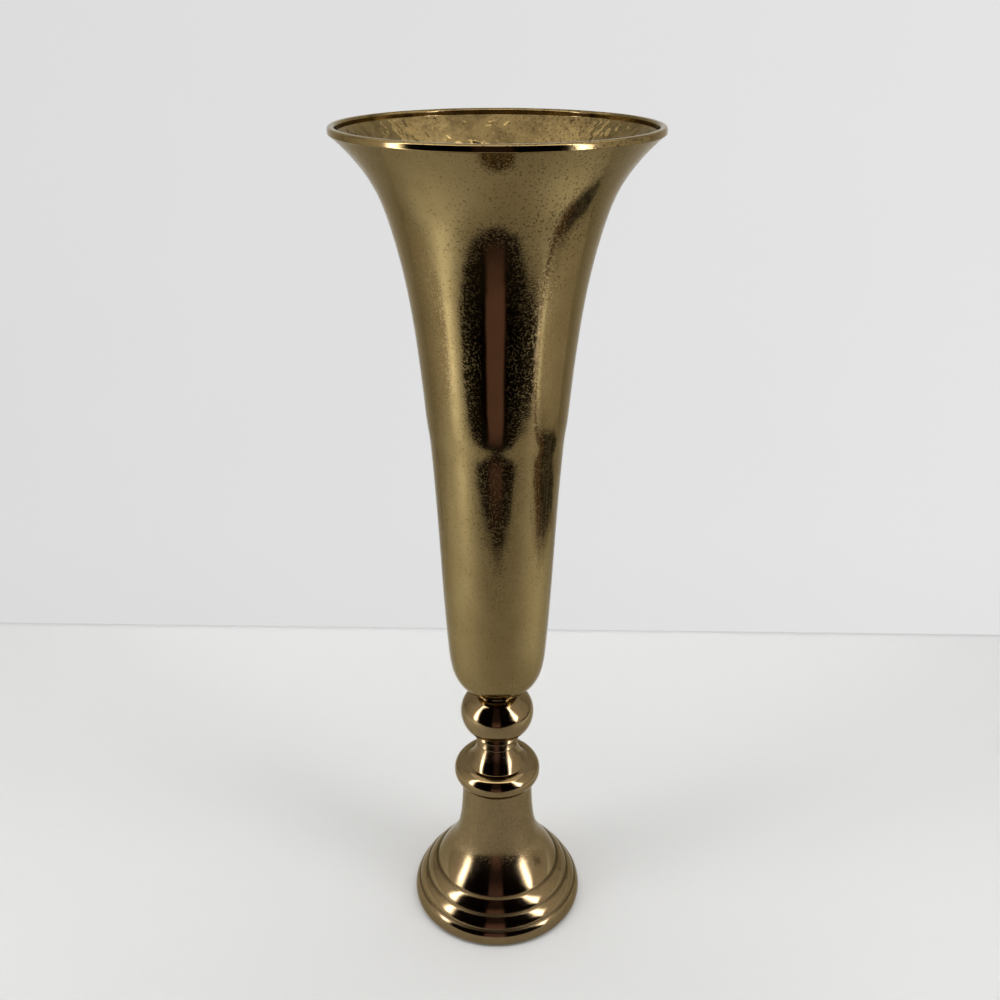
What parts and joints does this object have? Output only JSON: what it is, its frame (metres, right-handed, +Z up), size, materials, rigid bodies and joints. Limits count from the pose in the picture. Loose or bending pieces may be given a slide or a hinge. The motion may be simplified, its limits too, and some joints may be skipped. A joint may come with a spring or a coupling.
{
  "type": "trumpet vase",
  "caption": "Tall metal vase with a hollow flared trumpet bowl on stacked knops and a hollow bell foot, for cut stems or display.",
  "frame": {"origin": "on the upright axis at the level that the felt pads rest on", "axes": "+Z up along the vase's axis towards the mouth; the vase is round, so +X is free, and one pad lies on it"},
  "size_m": [0.204, 0.204, 0.61],
  "materials": {
    "bowl_metal": "sand cast, satin antique brass tone",
    "foot_metal": "cast, satin neck and burnished bands, antique brass tone",
    "knop_metal": "cast, polished antique brass tone",
    "zinc_steel": "zinc plated",
    "felt": "pressed felt"
  },
  "bodies": {
    "root": {"trumpet_bowl": "bowl_metal", "ball_knop": "knop_metal", "ring_knop": "knop_metal", "bell_foot": "foot_metal", "tie_stud": "zinc_steel", "flat_washer": "zinc_steel", "lock_washer": "zinc_steel", "hex_nut": "zinc_steel", "foot_pads": "felt"}
  },
  "joints": []
}
